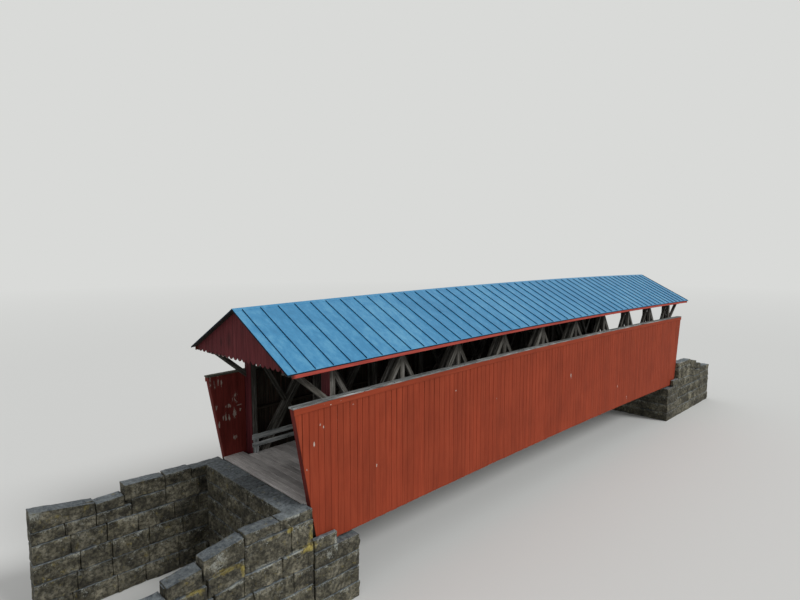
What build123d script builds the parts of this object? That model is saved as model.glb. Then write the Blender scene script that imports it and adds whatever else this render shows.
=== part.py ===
from build123d import *
import math
import os

os.makedirs("parts", exist_ok=True)

# Overall sizes of the bridge, in millimetres, X along it and Z up from the foot of the stone
road = 3350                             # road surface at the portals above the foot of the stone
roof_length = 29600
camber = 160                            # rise of every long piece at mid-span
panels = 9
seat = 0.3                              # clearance between pieces that rest on each other

half = roof_length / 2
siding_end = half - 340                 # top corner of the slanted siding end
deck_end = half - 820
abutment_face = half - 2500
bank_end = half + 5000

# Heights above the road surface
eave = 4002
siding_high = eave - 1075
siding_low = -1280
gable_low = eave - 42
chord_high = eave - 242                 # foot of the top chord
chord_low = siding_low + 280            # foot of the bottom chord

# Distances from the centre line
siding_face = 2715
eave_out = siding_face + 269
truss_mid = siding_face - 415
board = 25

# Truss timbers
chord_low_deep = 300
chord_high_deep = 300
middle_stick = 160
outer_stick = 100
gain = 10                               # depth that a post is let into each chord stick
post_thick = 130
post_wide = 200
post_off = 135                          # centre of each post from the truss centre plane
post_tail = 200                         # a post runs this far below the bottom chord
brace_deep = 180
counter_deep = 150
shoulder = 25                           # depth that a brace end is let into its post
counter_thick = 2 * (post_off - post_thick / 2 - seat)
post_last = half - 1840
panel = 2 * post_last / panels          # from post to post
post_x = [(i - panels / 2) * panel for i in range(panels + 1)]
post_end = post_last + post_wide / 2    # outer face of the end posts
truss_out = truss_mid + post_off + post_thick / 2
truss_in = truss_mid - post_off - post_thick / 2
chord_half = post_off + post_thick / 2 - gain + outer_stick

# Floor
plank = 75
stringer_deep = 225
stringer_wide = 100
beam_wide = 200
floor_half = truss_in - 5
floor_end = post_end + 30               # the floor widens to the lining beyond the end posts

# Roof
slope = 0.5107
tilt = math.atan(slope)
ridge = eave + slope * eave_out
rafter_deep = 125
rafter_wide = 60
rafter_gaps = 40
sheathing = 25
metal = 6
fascia_deep = 120
fascia_thick = 22
fascia_out = eave_out - 12
fascia_end = half - 140                 # the eave boards stop short of the roof end
gable_in = 200                          # the gable panel stands this far inside the roof end
gable_boards = 30
board_pitch = 2 * (truss_out + 350) / gable_boards

# Siding and the shelter ends
slant = 740                             # the foot of the slanted end is this much further in
cap_thick = 50
cap_in = truss_out + 5
cap_out = siding_face + 30
trim_deep = 170
lining_in = truss_out + 5

# Stone
wing_out = siding_face + 185
wing_in = wing_out - 480
seat_stone = siding_low - 45
foot_stone_in = siding_face + 20

ends = [(-1, "near"), (1, "far")]
sides = [(-1, "right"), (1, "left")]


def rise(x):
    """Height of the camber at x over its height at the roof ends."""
    return camber * (1 - (x / half) ** 2)


def roof_line(y):
    """Height of the top of the metal above the road at a distance from the centre line."""
    return ridge - slope * abs(y)


def band(low, high, x0, x1, y, lean=0):
    """Face in the plane at y between two cambered edges; its ends lean in at the foot."""
    lo = [(x, road + low + rise(x)) for x in (x0 + lean, (x0 + x1) / 2, x1 - lean)]
    hi = [(x, road + high + rise(x)) for x in (x1, (x0 + x1) / 2, x0)]
    with BuildSketch(Plane.XZ.offset(-y)) as face:
        with BuildLine():
            ThreePointArc(*lo)
            Line(lo[2], hi[0])
            ThreePointArc(*hi)
            Line(hi[2], lo[0])
        make_face()
    return face.sketch


def plate(points, y, cambered=True):
    """Flat face in the plane at y, from corners given as x and height above the road."""
    with BuildSketch(Plane.XZ.offset(-y)) as face:
        with BuildLine():
            Polyline(*[(x, road + z + (rise(x) if cambered else 0)) for x, z in points], close=True)
        make_face()
    return face.sketch


def across(low, high, x, wide, y):
    """Face of a beam that lies across the bridge at x, its top and foot along the camber."""
    x0, x1 = x - wide / 2, x + wide / 2
    return plate([(x0, low), (x1, low), (x1, high), (x0, high)], y)


def out(part, label):
    part.label = label
    export_step(part, "parts/" + label + ".step")


# Trusses: each chord has three sticks, with a pair of posts let in between them at every panel
# point; the paired braces bear on shoulders in the posts and the counter passes between them
outer_row = chord_half - outer_stick / 2
stick_rows = [(-outer_row, outer_stick), (0, middle_stick), (outer_row, outer_stick)]
foot = chord_low + chord_low_deep + seat
head = chord_high - seat
brace_run = panel - post_wide + 2 * shoulder
brace_lift = brace_deep / math.cos(math.atan2(head - foot - 2 * brace_deep, brace_run))
counter_in = 90                         # a counter's end runs this far in between its posts
counter_gap = post_wide / 2 - counter_in
counter_wide = counter_deep / math.sin(math.atan2(head - foot, panel - counter_deep))
brace_ends = []
counter_ends = []
for i in range(panels):
    low_x, high_x, way = post_x[i], post_x[i + 1], 1
    if i > panels / 2:
        low_x, high_x, way = high_x, low_x, -1
    bearing = way * (post_wide / 2 - shoulder + seat)
    a, b = low_x + bearing, high_x - bearing
    brace_ends.append([(a, foot), (b, head - brace_lift), (b, head), (a, foot + brace_lift)])
    a, b, wide = high_x - way * counter_gap, low_x + way * counter_gap, way * counter_wide
    counter_ends.append([(a, foot), (b + wide, head), (b, head), (a - wide, foot)])

for side, name in sides:
    mid = side * truss_mid
    for low, deep, label, reach in [(chord_low, chord_low_deep, "bottom_chord_", deck_end - 20),
                                    (chord_high, chord_high_deep, "top_chord_", half - 420)]:
        with BuildPart() as chord:
            for off, thick in stick_rows:
                extrude(band(low, low + deep, -reach, reach, mid + off + thick / 2), amount=thick)
            with Locations(*[(x, mid + s * post_off, road + low + deep / 2 + rise(x))
                             for x in post_x for s in (-1, 1)]):
                Box(post_wide + 2 * seat, post_thick + 2 * seat, deep + 400, mode=Mode.SUBTRACT)
        out(chord.part, label + name)

    post_low = chord_low - post_tail
    post_high = chord_high + chord_high_deep - 3
    with BuildPart() as posts:
        with Locations(*[(x, mid + s * post_off, road + (post_low + post_high) / 2 + rise(x))
                         for x in post_x for s in (-1, 1)]):
            Box(post_wide, post_thick, post_high - post_low)
        for (a, low), (b, top), *rest in brace_ends:
            way = math.copysign(seat, b - a)
            notch = [(a - way, low - 3 * seat), (b + way, top - 3 * seat), (b + way, head + 3 * seat),
                     (a - way, low + brace_lift + 3 * seat)]
            face = plate(notch, mid + post_off + post_thick / 2 + seat)
            extrude(face, amount=2 * post_off + post_thick + 2 * seat, mode=Mode.SUBTRACT)
    out(posts.part, "posts_" + name)

    with BuildPart() as braces:
        for corners in brace_ends:
            for s in (-1, 1):
                extrude(plate(corners, mid + s * post_off + post_thick / 2), amount=post_thick)
    out(braces.part, "braces_" + name)

    with BuildPart() as counters:
        for corners in counter_ends:
            extrude(plate(corners, mid + counter_thick / 2), amount=counter_thick)
    out(counters.part, "counters_" + name)

# Floor: beams across the bottom chords, stringers along them, planks laid across on the stringers
truss_face = truss_mid + chord_half
beam_low = chord_low + chord_low_deep + seat
stringer_low = -plank - seat - stringer_deep
beam_x = [x + panel * t for x in post_x[:-1] for t in (1 / 3, 2 / 3)]
beam_x += [end * x for end, _ in ends for x in (deck_end - 350, post_end + 130)]
with BuildPart() as floor_beams:
    for x in beam_x:
        extrude(across(beam_low, stringer_low - seat, x, beam_wide, truss_face), amount=2 * truss_face)
out(floor_beams.part, "floor_beams")

side_floor = lining_in - 2 - floor_half - seat
with BuildPart() as stringers:
    for y in [i * (floor_half - 145) / 2 for i in range(-2, 3)]:
        extrude(band(stringer_low, -plank - seat, -deck_end + 20, deck_end - 20, y + stringer_wide / 2),
                amount=stringer_wide)
    for end, _ in ends:
        for side, _ in sides:
            x0, x1 = sorted((end * floor_end, end * (deck_end - 20)))
            y = side * (floor_half + side_floor / 2)
            extrude(band(stringer_low, -plank - seat, x0, x1, y + stringer_wide / 2), amount=stringer_wide)
out(stringers.part, "stringers")

with BuildPart() as deck:
    extrude(band(-plank, 0, -deck_end, deck_end, floor_half), amount=2 * floor_half)
    for end, _ in ends:
        for side, _ in sides:
            x0, x1 = sorted((end * floor_end, end * deck_end))
            y = side * (floor_half + seat + side_floor / 2) + side_floor / 2
            extrude(band(-plank, 0, x0, x1, y), amount=side_floor)
out(deck.part, "deck")

# Low rails beside the trusses: two planks in front of short legs that stand on the deck
rail_end = floor_end + 50
leg_deep = 100
leg_wide = 160
rail_plank = 50
for side, name in sides:
    with BuildPart() as rail:
        leg_mid = side * (truss_in - leg_deep / 2)
        plank_mid = side * (truss_in - leg_deep - rail_plank / 2)
        for low, high in [(520, 700), (250, 400)]:
            extrude(band(low, high, -rail_end, rail_end, plank_mid + rail_plank / 2), amount=rail_plank)
        for x in post_x:
            x = math.copysign(min(abs(x), post_end - 20), x)
            extrude(across(seat, 690, x, leg_wide, leg_mid + leg_deep / 2 - seat), amount=leg_deep - 2 * seat)
    out(rail.part, "rail_" + name)

# Roof frame: tie beams over the posts, rafters in pairs seated on the outer sticks of the chords
roof_skin = (metal + sheathing + 2 * seat) / math.cos(tilt)
rafter_drop = rafter_deep / math.cos(tilt)
rafter_top = -roof_skin - 1
chord_top = chord_high + chord_high_deep
tie_deep = 180
tie_wide = 180
tie_clear = 8                           # gap between a tie beam's sloping end and the rafters
tie_end = truss_out


def rafter_foot(y):
    return roof_line(y) + rafter_top - rafter_drop


with BuildPart() as tie_beam:
    with BuildSketch(Plane.YZ.offset(-tie_wide / 2)):
        with BuildLine():
            shoulder_y = (rafter_foot(0) - tie_clear - chord_top - tie_deep) / slope
            low, high = road + chord_top, road + chord_top + tie_deep
            end_top = road + rafter_foot(tie_end) - tie_clear
            Polyline((-tie_end, low), (tie_end, low), (tie_end, end_top), (shoulder_y, high),
                     (-shoulder_y, high), (-tie_end, end_top), close=True)
        make_face()
    extrude(amount=tie_wide)
with BuildPart() as tie_beams:
    with Locations(*[(x, 0, max(rise(x - tie_wide / 2), rise(x + tie_wide / 2)) + seat) for x in post_x]):
        add(tie_beam.part)
out(tie_beams.part, "tie_beams")

rafter_last = half - gable_in - board - seat - rafter_wide / 2
rafter_x = [rafter_last * (2 * i / rafter_gaps - 1) for i in range(rafter_gaps + 1)]
with BuildPart() as rafter:
    with BuildSketch(Plane.YZ.offset(-rafter_wide / 2)):
        for side in (-1, 1):
            with BuildLine():
                top, tail = side * seat, side * (fascia_out - fascia_thick - seat)
                Polyline((top, road + rafter_foot(top) + rafter_drop), (top, road + rafter_foot(top)),
                         (tail, road + rafter_foot(tail)), (tail, road + rafter_foot(tail) + rafter_drop),
                         close=True)
            make_face()
    extrude(amount=rafter_wide)
    for side in (-1, 1):
        with Locations((0, side * (truss_mid + outer_row), road + chord_top + 3 * seat - 100)):
            Box(rafter_wide, outer_stick + 2 * seat, 200, mode=Mode.SUBTRACT)
with BuildPart() as rafters:
    with Locations(*[(x, 0, rise(x)) for x in rafter_x]):
        add(rafter.part)
out(rafters.part, "rafters")

# Roof skins, one slope each side, bent to the camber: boarding, the metal over it, the eave board
for side, name in sides:
    way = (0, side * math.cos(tilt), -math.sin(tilt))
    boards_end = fascia_out - fascia_thick - seat
    for label, under, thick, reach in [("roof_boards_", metal + sheathing + seat, sheathing, boards_end),
                                       ("roof_metal_", metal, metal, eave_out)]:
        start = 6
        low = roof_line(start) - under / math.cos(tilt)
        with BuildPart() as skin:
            face = band(low, low + thick / math.cos(tilt), -half, half, side * start)
            extrude(face, amount=(reach - start) / math.cos(tilt), dir=way)
        out(skin.part, label + name)

    with BuildPart() as fascia:
        y = side * (fascia_out - fascia_thick / 2) + fascia_thick / 2
        top = eave - metal / math.cos(tilt) - 1
        extrude(band(top - fascia_deep, top, -fascia_end, fascia_end, y), amount=fascia_thick)
    out(fascia.part, "fascia_" + name)

with BuildPart() as ridge_cap:
    for side in (-1, 1):
        face = band(ridge + 1, ridge + 7, -half, half, 0)
        extrude(face, amount=150, dir=(0, side * math.cos(tilt), -math.sin(tilt)))
out(ridge_cap.part, "ridge_cap")

# Gable panels of upright boards with rounded feet, closing the roof a little inside its ends
for end, name in ends:
    outer = half - gable_in
    with BuildPart() as gable:
        with BuildSketch(Plane.YZ.offset(min(end * outer, end * (outer - board)))):
            edge = board_pitch * gable_boards / 2
            low = road + gable_low + rise(outer)
            top = road - roof_skin - seat + rise(outer)
            with BuildLine():
                Polyline((-edge, low), (edge, low), (edge, top + roof_line(edge)), (0, top + ridge),
                         (-edge, top + roof_line(edge)), close=True)
            make_face()
            with Locations(*[(board_pitch * (i + 0.5) - edge, low) for i in range(gable_boards)]):
                Circle(board_pitch / 2 - 2)
        extrude(amount=board)
    out(gable.part, "gable_" + name)

# Side walls: siding with slanted ends, girts behind it, the cap over both and a trim board below;
# past the end posts they are lined, and a board closes the hollow at each slanted end
wall_high = siding_high - siding_low
for side, name in sides:
    with BuildPart() as siding:
        y = side * (siding_face - board / 2) + board / 2
        extrude(band(siding_low, siding_high, -siding_end, siding_end, y, slant), amount=board)
    out(siding.part, "siding_" + name)

    with BuildPart() as girts:
        inner = truss_out + seat
        outer = siding_face - board - seat
        for z in (chord_low_deep, wall_high / 3, siding_high - 90):
            reach = siding_end - slant * (siding_high - z) / wall_high - 30
            y = side * (inner + outer) / 2 + (outer - inner) / 2
            deep = siding_face - board - lining_in - board - 2 * seat
            extrude(band(z, z + 80, -floor_end, floor_end, y), amount=outer - inner)
            for end in (-1, 1):
                x0, x1 = sorted((end * floor_end, end * reach))
                y_end = side * (siding_face - board - seat - deep / 2) + deep / 2
                extrude(band(z, z + 80, x0, x1, y_end), amount=deep)
    out(girts.part, "girts_" + name)

    with BuildPart() as cap:
        y = side * (cap_in + cap_out) / 2 + (cap_out - cap_in) / 2
        extrude(band(siding_high + seat, siding_high + cap_thick, -siding_end - 30, siding_end + 30, y),
                amount=cap_out - cap_in)
    out(cap.part, "cap_" + name)

    with BuildPart() as trim:
        y = side * (siding_face + board / 2 + seat) + board / 2
        lean = slant * trim_deep / wall_high
        face = band(siding_high - trim_deep, siding_high - seat, -siding_end, siding_end, y, lean)
        extrude(face, amount=board)
    out(trim.part, "trim_" + name)

    with BuildPart() as lining:
        for end in (-1, 1):
            start, top_x = end * floor_end, end * siding_end
            foot_x = end * (siding_end - slant * (siding_high + plank) / wall_high)
            corners = [(start, -plank), (foot_x, -plank), (top_x, siding_high - 1), (start, siding_high - 1)]
            extrude(plate(corners, side * (lining_in + board / 2) + board / 2), amount=board)
            corners = [(foot_x, -plank), (top_x, siding_high - 1), (top_x - end * board, siding_high - 1),
                       (foot_x - end * board, -plank)]
            hollow = siding_face - lining_in - 2 * board
            y = side * (lining_in + board + hollow / 2) + hollow / 2 - seat
            extrude(plate(corners, y), amount=hollow - 2 * seat)
    out(lining.part, "lining_" + name)

# Jamb boards on the end posts, and the struts from the end posts to the roof ends
jamb_wide = (truss_out - truss_in - 20) / 2
strut_thick = 120
strut_deep = 210                        # measured upright
strut_y = truss_out - strut_thick / 2
with BuildPart() as jambs:
    low, high = -plank, chord_high - 20
    with Locations(*[(end * (post_end + seat + board / 2), side * y, road + (low + high) / 2)
                     for end, _ in ends for side, _ in sides
                     for y in (truss_in + jamb_wide / 2, truss_out - jamb_wide / 2)]):
        Box(board, jamb_wide, high - low)
out(jambs.part, "jambs")

with BuildPart() as struts:
    for end, _ in ends:
        foot_x = end * (post_end + board + 2 * seat)
        low = siding_high - 200
        corners = [(foot_x, low), (end * (half - 520), head), (end * (half - 760), head),
                   (foot_x, low + strut_deep)]
        for side, _ in sides:
            extrude(plate(corners, side * strut_y + strut_thick / 2), amount=strut_thick)
out(struts.part, "struts")

# Stone: abutments with a seat for the bolsters and a back wall, and the stepped wing walls
for end, name in ends:
    back = deck_end + 5
    wing_wide = wing_out - wing_in
    with BuildPart() as abutment:
        corners = [(abutment_face, -road), (abutment_face, seat_stone), (back, seat_stone), (back, -20),
                   (back + 700, -20), (back + 700, -road)]
        extrude(plate([(end * x, z) for x, z in corners], wing_in - seat, False), amount=2 * (wing_in - seat))
        for side in (-1, 1):
            for inner, face_x, high in [(wing_in - seat, abutment_face, seat_stone),
                                        (foot_stone_in, deck_end - 840, seat_stone + 395)]:
                corners = [(face_x, -road), (face_x, high), (back - seat, high), (back - seat, -road)]
                wide = wing_out - inner
                y = side * (inner + wide / 2) + wide / 2
                extrude(plate([(end * x, z) for x, z in corners], y, False), amount=wide)
    out(abutment.part, "abutment_" + name)

    for side, side_name in sides:
        steps = [(back, 50), (half + 1400, -120), (half + 2400, -460), (half + 3400, -800)]
        if side > 0:
            steps = [(back, -30), (half + 2500, -280), (half + 3300, -120)]
        corners = [(back, -road)]
        for k, (x, z) in enumerate(steps):
            reach = steps[k + 1][0] if k + 1 < len(steps) else bank_end
            corners += [(x, z), (reach, z)]
        corners.append((bank_end, -road))
        with BuildPart() as wing:
            y = side * (wing_in + wing_wide / 2) + wing_wide / 2
            extrude(plate([(end * x, z) for x, z in corners], y, False), amount=wing_wide)
        out(wing.part, "wing_wall_" + name + "_" + side_name)

# Bolsters: beams across the stone seats, level below and cut to the camber above
with BuildPart() as bolsters:
    for x in [end * (abutment_face + k) for end, _ in ends for k in (300, 1100)]:
        x0, x1 = x - 125, x + 125
        low, high = road + seat_stone + seat, road + chord_low - seat
        with BuildSketch(Plane.XZ.offset(-truss_face)) as face:
            with BuildLine():
                Polyline((x0, low), (x1, low), (x1, high + rise(x1)), (x0, high + rise(x0)), close=True)
            make_face()
        extrude(amount=2 * truss_face)
out(bolsters.part, "bolsters")
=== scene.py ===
import math
import random

import bmesh
import bpy
import numpy as np
from mathutils import Matrix, Vector, noise


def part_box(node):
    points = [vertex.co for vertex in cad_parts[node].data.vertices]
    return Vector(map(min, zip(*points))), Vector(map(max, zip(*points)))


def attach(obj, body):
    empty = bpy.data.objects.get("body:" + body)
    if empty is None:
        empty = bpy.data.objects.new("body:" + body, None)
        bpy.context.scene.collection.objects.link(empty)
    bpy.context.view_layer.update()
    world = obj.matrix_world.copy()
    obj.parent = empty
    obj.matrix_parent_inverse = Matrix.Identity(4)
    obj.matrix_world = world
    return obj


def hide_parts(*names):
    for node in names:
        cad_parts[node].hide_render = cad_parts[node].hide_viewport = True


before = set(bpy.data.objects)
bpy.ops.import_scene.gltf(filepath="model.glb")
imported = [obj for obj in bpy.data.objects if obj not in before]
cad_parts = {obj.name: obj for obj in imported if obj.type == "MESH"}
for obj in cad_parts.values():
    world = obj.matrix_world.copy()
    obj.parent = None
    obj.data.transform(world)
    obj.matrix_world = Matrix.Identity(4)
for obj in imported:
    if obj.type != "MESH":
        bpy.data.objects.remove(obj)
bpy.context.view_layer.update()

# Sandstone. It was split at the quarry and squared with a pick, and its rough faces have
# weathered to a dark crust that flakes paler, with lichen on the tops and moss in the beds. The
# tops are drawn blue-grey as painted sky light, and the upper arrises paler as painted highlight.
camber = 0.160                          # floor, walls and roof rise this much toward mid-span
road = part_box("deck")[1].z - camber     # height of the road under the roof's ends


def colour(code):
    """An sRGB hex value as the linear colour that a shader takes."""
    parts = [int(code[i:i + 2], 16) / 255 for i in (1, 3, 5)]
    return [p / 12.92 if p <= 0.04045 else ((p + 0.055) / 1.055) ** 2.4 for p in parts] + [1]


def blank(name):
    """A new material with an empty node tree."""
    material = bpy.data.materials.new(name)
    material.use_nodes = True
    material.node_tree.nodes.clear()
    return material


def add(owner, kind, sockets=None, stops=(), **settings):
    """Adds one node with its settings, the stops of its ramp, and its values and links."""
    tree = owner.node_tree
    made = tree.nodes.new("ShaderNode" + kind)
    for key, value in settings.items():
        setattr(made, key, value)
    for i, (place, shade) in enumerate(stops):
        element = made.color_ramp.elements[i] if i < 2 else made.color_ramp.elements.new(place)
        element.position = place
        element.color = colour(shade)
    for key, value in (sockets or {}).items():
        if isinstance(value, bpy.types.Node):
            value = next(o for o in value.outputs if o.enabled)
        if isinstance(value, bpy.types.NodeSocket):
            tree.links.new(value, made.inputs[key])
        else:
            made.inputs[key].default_value = value
    return made


def per_metre(*marks):
    """The scale of a pattern from the size of its marks in millimetres, or one for each axis."""
    scales = [1000 / mark for mark in marks]
    return scales if len(scales) > 1 else scales[0]


def closeness(material, place, spots):
    """How near a point is to the closest of some spots, each a place and its reach in x, y, z.

    It is 1 well inside the reach and falls to 0 at its end.
    """
    most = 0.0
    for spot, reach in spots:
        away = add(material, "VectorMath", {0: place, 1: spot}, operation="SUBTRACT")
        scaled = add(material, "VectorMath", {0: away, 1: [1 / k for k in reach]},
                     operation="MULTIPLY")
        distance = add(material, "VectorMath", {0: scaled}, operation="LENGTH")
        here = add(material, "MapRange", {0: distance, 1: 0.3, 2: 1.0, 3: 1.0, 4: 0.0})
        most = add(material, "Math", {0: most, 1: here}, operation="MAXIMUM")
    return most


def sandstone(mossy, bleached):
    """Split sandstone: matt and dark with soot, flaked paler; lichen on edges, moss in beds.

    The grit is drawn coarser than sand grains are, so that it shows. Faces that look up are
    painted blue-grey with sky light, and the upper arrises are paler, partly lichen and partly
    painted highlight.
    """
    m = blank("split_sandstone")
    place = add(m, "TexCoord").outputs["Object"]
    tone = add(m, "Attribute", attribute_name="tone").outputs["Fac"]
    lift = add(m, "Attribute", attribute_name="lift").outputs["Fac"]
    blotch = add(m, "TexNoise", {"Vector": place, "Scale": per_metre(434.8),
                                 "Detail": 9, "Roughness": 0.68})
    crust = add(m, "TexNoise", {"Vector": place, "Scale": per_metre(111.1),
                                "Detail": 10, "Roughness": 0.74})
    grit = add(m, "TexNoise", {"Vector": place, "Scale": per_metre(14.29),
                               "Detail": 4, "Roughness": 0.6})
    body = add(m, "ValToRGB", {"Fac": blotch},
               stops=[(0.36, "#3a372c"), (0.66, "#989380"), (0.5, "#656150")])
    dark = add(m, "ValToRGB", {"Fac": crust}, stops=[(0.43, "#1f1f1b"), (0.58, "#ffffff")])
    stained = add(m, "Mix", {0: 0.75, 6: body, 7: dark}, data_type="RGBA", blend_type="MULTIPLY")
    pale = add(m, "TexNoise", {"Vector": place, "Scale": per_metre(181.8),
                               "Detail": 11, "Roughness": 0.8})
    speck = add(m, "TexNoise", {"Vector": place, "Scale": per_metre(38.46),
                                "Detail": 6, "Roughness": 0.75})
    spotted = add(m, "Math", {0: speck, 1: 0.8, 2: pale}, operation="MULTIPLY_ADD")
    # Paler flakes near the top of each block: lichen, and painted highlight on the upper arrises.
    high = add(m, "MapRange", {0: lift, 1: 0.60, 2: 1.0, 3: 0.0, 4: 0.13})
    near = add(m, "Math", {0: closeness(m, place, bleached), 1: 0.20, 2: high},
               operation="MULTIPLY_ADD")
    likely = add(m, "Math", {0: spotted, 1: near}, operation="ADD")
    flake = add(m, "MapRange", {0: likely, 1: 1.02, 2: 1.14, 3: 0.0, 4: 0.9})
    flaked = add(m, "Mix", {0: flake, 6: stained, 7: colour("#a9aca4")}, data_type="RGBA")
    # Faces that look up take a blue-grey: painted sky light on the tops of the stones.
    facing = add(m, "SeparateXYZ", {0: add(m, "NewGeometry").outputs["Normal"]})
    upward = add(m, "MapRange", {0: facing.outputs["Z"], 1: 0.45, 2: 0.9, 3: 0.0, 4: 0.8})
    top = add(m, "ValToRGB", {"Fac": crust}, stops=[(0.36, "#465058"), (0.66, "#939da3")])
    sky_lit_tops = add(m, "Mix", {0: upward, 6: flaked, 7: top}, data_type="RGBA")
    moss = add(m, "TexNoise", {"Vector": place, "Scale": per_metre(238.1),
                               "Detail": 10, "Roughness": 0.75})
    damp = add(m, "Math", {0: closeness(m, place, mossy), 1: 0.21, 2: moss},
               operation="MULTIPLY_ADD")
    growth = add(m, "MapRange", {0: damp, 1: 0.58, 2: 0.74, 3: 0.0, 4: 0.9})
    hue = add(m, "ValToRGB", {"Fac": crust}, stops=[(0.40, "#77662a"), (0.62, "#b7a95c")])
    grown = add(m, "Mix", {0: growth, 6: sky_lit_tops, 7: hue}, data_type="RGBA")
    value = add(m, "MapRange", {0: tone, 3: 0.72, 4: 1.22})
    shaded = add(m, "HueSaturation", {"Color": grown, "Value": value})
    height = add(m, "Math", {0: crust, 1: 3.0, 2: grit}, operation="MULTIPLY_ADD")
    bump = add(m, "Bump", {"Height": height, "Distance": 0.025, "Strength": 1.0})
    skin = add(m, "BsdfPrincipled", {"Base Color": shaded, "Roughness": 0.92, "Normal": bump})
    add(m, "OutputMaterial", {"Surface": skin})
    return m


# Where moss and lichen hold on the near wing walls: x, y and the height over the road of each
# place, then how far it reaches.
moss = [(-14.15, -2.9, -1.05, (0.42, 0.25, 0.16)), (-14.05, -2.9, -0.68, (0.20, 0.25, 0.30)),
        (-16.60, -2.9, -0.70, (0.60, 0.25, 0.12)), (-16.17, -2.9, -0.85, (0.10, 0.25, 0.32)),
        (-17.48, -2.9, -0.90, (0.30, 0.25, 0.12)), (-14.75, -2.9, -0.34, (0.16, 0.20, 0.16))]
lichen = [(-14.65, -2.75, 0.04, (0.50, 0.30, 0.15)), (-13.45, -2.9, -1.55, (0.22, 0.25, 0.16)),
          (-13.20, -2.9, -1.30, (0.10, 0.25, 0.35)), (-16.85, -2.9, -0.42, (0.34, 0.25, 0.26)),
          (-15.40, -2.9, -1.02, (0.80, 0.25, 0.07)), (-14.62, -2.9, -1.02, (0.30, 0.25, 0.08)),
          (-16.50, -2.9, -1.18, (0.40, 0.25, 0.10)), (-19.70, 2.42, -0.10, (0.30, 0.25, 0.20))]
moss_places = [((x, y, road + z), reach) for x, y, z, reach in moss]
lichen_places = [((x, y, road + z), reach) for x, y, z, reach in lichen]
stone = sandstone(moss_places, lichen_places)

# Stone blocks. They are laid dry with open joints, their arrises knocked off in handling and
# their outer faces left bulging, just as they split; small stones are packed in behind them.
joint = 0.012
askew = 0.006                           # how far a block's corner may lie out of true
shortest = 0.62                         # of the longest block in the same course
knocked = 0.026                         # width of a knocked-off arris
grain_step = 0.09                       # a block's face is divided this finely, then roughened
rough_face = 0.060
rough_bed = 0.016
packing_in = (0.06, 0.12, 0.09)         # the packing stays this far behind the faces
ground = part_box("abutment_near")[0].z
cutter = random.Random(11)


def box(bm, low, high):
    """Adds a plain block between two corners."""
    low, high = Vector(low), Vector(high)
    place = Matrix.Translation((low + high) / 2) @ Matrix.Diagonal((*(high - low), 1))
    return bmesh.ops.create_cube(bm, size=1, matrix=place)["verts"]


def lay(bm, x, y, z, drop=(0, 0)):
    """One block with half a joint all round; its bed and its top drop toward the wall's end."""
    low = Vector((min(x), min(y), min(z))) + Vector((joint, 0, joint)) / 2
    high = Vector((max(x), max(y), max(z))) - Vector((joint, 0, joint)) / 2
    outer = max(low.x, high.x, key=abs)
    for corner in box(bm, low, high):
        if abs(corner.co.x - outer) < 0.001:
            corner.co.z -= drop[corner.co.z > (low.z + high.z) / 2]
        corner.co += Vector([cutter.uniform(-askew, askew) for _ in range(3)])


def lay_run(bm, x, y, beds, along, longest):
    """Courses between the beds, each cut into blocks along the x or the y axis."""
    for top, foot in zip(beds, beds[1:]):
        start, stop = sorted(x if along == "x" else y)
        cuts = [start]
        while stop - cuts[-1] > longest:
            cuts.append(cuts[-1] + cutter.uniform(shortest, 1) * longest)
        cuts.append(stop)
        for block in zip(cuts, cuts[1:]):
            if along == "x":
                lay(bm, block, y, (foot, top))
            else:
                lay(bm, x, block, (foot, top))


def members(bm):
    """The separate solids in a bmesh, each as a list of its corners."""
    found, left = [], set(bm.verts)
    while left:
        solid, edge = [], [left.pop()]
        while edge:
            corner = edge.pop()
            solid.append(corner)
            for e in corner.link_edges:
                other = e.other_vert(corner)
                if other in left:
                    left.remove(other)
                    edge.append(other)
        found.append(sorted(solid, key=lambda v: v.index))
    return sorted(found, key=lambda solid: solid[0].index)


def wear(bm, width, segments=1):
    """Rounds the arrises, which are the edges that turn by more than half a radian."""
    sharp = [e for e in bm.edges if len(e.link_faces) == 2 and e.calc_face_angle() > 0.5]
    bmesh.ops.bevel(bm, geom=sharp, offset=width, segments=segments, profile=0.5, affect="EDGES",
                    material=-1, clamp_overlap=True)


def roughen(bm, face_axis):
    """Divides the blocks, rounds their arrises and roughens the faces square to one axis."""
    for axis in range(3):
        lines = {}
        for e in bm.edges:
            run = e.verts[1].co - e.verts[0].co
            if abs(run[axis]) > 0.9 * run.length:
                lines.setdefault(int(run.length / grain_step), []).append(e)
        for cuts, edges in lines.items():
            if cuts:
                bmesh.ops.subdivide_edges(bm, edges=edges, cuts=cuts, use_grid_fill=True)
    wear(bm, knocked, 2)
    bm.normal_update()
    tone = bm.verts.layers.float.new("tone")
    lift = bm.verts.layers.float.new("lift")
    for block in members(bm):
        shift = Vector([cutter.uniform(-50, 50) for _ in range(3)])
        shade = cutter.random()
        foot, top = min(v.co.z for v in block), max(v.co.z for v in block)
        for v, outward in [(v, v.normal.copy()) for v in block]:
            # Broad bulges and the scars of the pick, on the whole a little behind the true face.
            deep = rough_bed + (rough_face - rough_bed) * outward[face_axis] ** 2
            bulge = noise.noise(v.co * 2.4 + shift) + 0.6 * noise.noise(v.co * 6.5 + shift)
            chip = 0.5 * noise.noise(v.co * 15 + shift)
            v[lift] = (v.co.z - foot) / (top - foot)
            v.co += outward * deep * (bulge + chip - 0.35)
            v.co.z = max(v.co.z, ground)
            v[tone] = shade
    for face in bm.faces:
        face.smooth = True


def copy_node(node):
    """A CAD node's mesh as a bmesh, with its loose triangles merged."""
    bm = bmesh.new()
    bm.from_mesh(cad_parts[node].data)
    bmesh.ops.remove_doubles(bm, verts=bm.verts, dist=1e-5)
    return bm


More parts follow.
